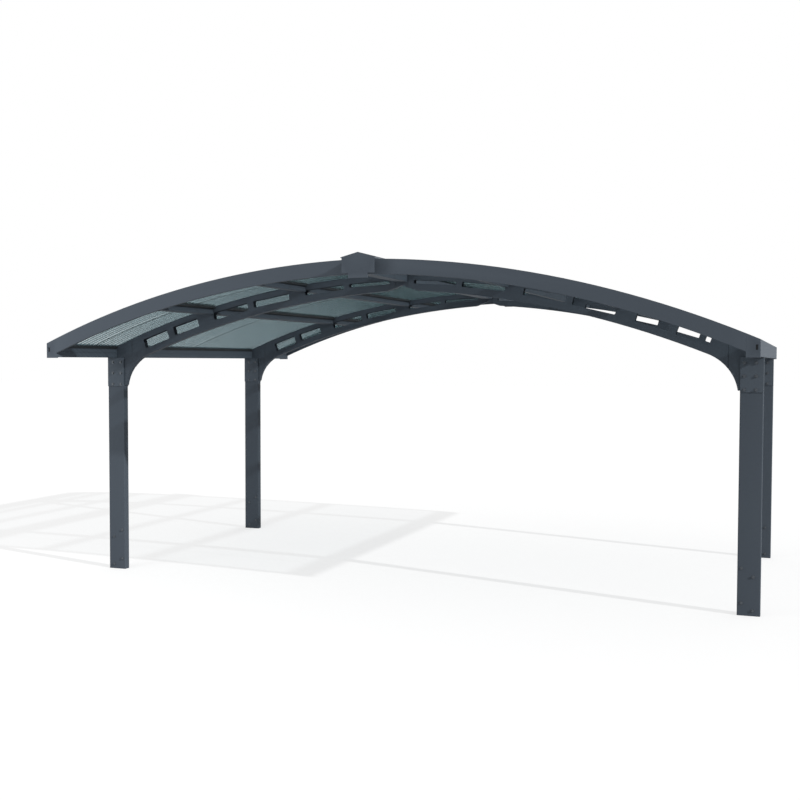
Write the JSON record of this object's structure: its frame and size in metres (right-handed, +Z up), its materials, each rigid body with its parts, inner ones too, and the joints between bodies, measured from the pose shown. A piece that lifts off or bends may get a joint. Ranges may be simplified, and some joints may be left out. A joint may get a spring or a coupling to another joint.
{
  "type": "double carport",
  "caption": "Arched double carport: two curved half roofs of translucent sheet on slotted arch beams, four posts, eave gutters and a raised ridge cover.",
  "frame": {"origin": "on the ground, at the middle of the carport in plan", "axes": "+X across the two bays to the right, seen from the front; +Y from front to rear; +Z up"},
  "size_m": [5.76, 4.97, 2.759],
  "materials": {
    "frame_paint": "satin anthracite powder coat on aluminium",
    "roof_sheet": "smoke-tinted ribbed polycarbonate, translucent"
  },
  "bodies": {
    "root": {"post_front_left": "frame_paint", "post_front_right": "frame_paint", "post_rear_left": "frame_paint", "post_rear_right": "frame_paint", "knee_front_left": "frame_paint", "knee_front_right": "frame_paint", "knee_rear_left": "frame_paint", "knee_rear_right": "frame_paint", "arch_beam_front_left": "frame_paint", "arch_beam_front_right": "frame_paint", "arch_beam_rear_left": "frame_paint", "arch_beam_rear_right": "frame_paint", "ridge_joint_front": "frame_paint", "ridge_joint_rear": "frame_paint", "purlin_left_lower": "frame_paint", "purlin_left_upper": "frame_paint", "purlin_right_lower": "frame_paint", "purlin_right_upper": "frame_paint", "ridge_beam": "frame_paint", "ridge_cover": "frame_paint", "ridge_cap_front": "frame_paint", "ridge_cap_rear": "frame_paint", "gutter_left": "frame_paint", "gutter_right": "frame_paint", "gutter_cap_front_left": "frame_paint", "gutter_cap_front_right": "frame_paint", "gutter_cap_rear_left": "frame_paint", "gutter_cap_rear_right": "frame_paint", "fascia_front_left": "frame_paint", "fascia_front_right": "frame_paint", "fascia_rear_left": "frame_paint", "fascia_rear_right": "frame_paint", "roof_sheets_left_eave": "roof_sheet", "roof_sheets_left_middle": "roof_sheet", "roof_sheets_left_ridge": "roof_sheet", "roof_sheets_right_eave": "roof_sheet", "roof_sheets_right_middle": "roof_sheet", "roof_sheets_right_ridge": "roof_sheet"}
  },
  "joints": []
}
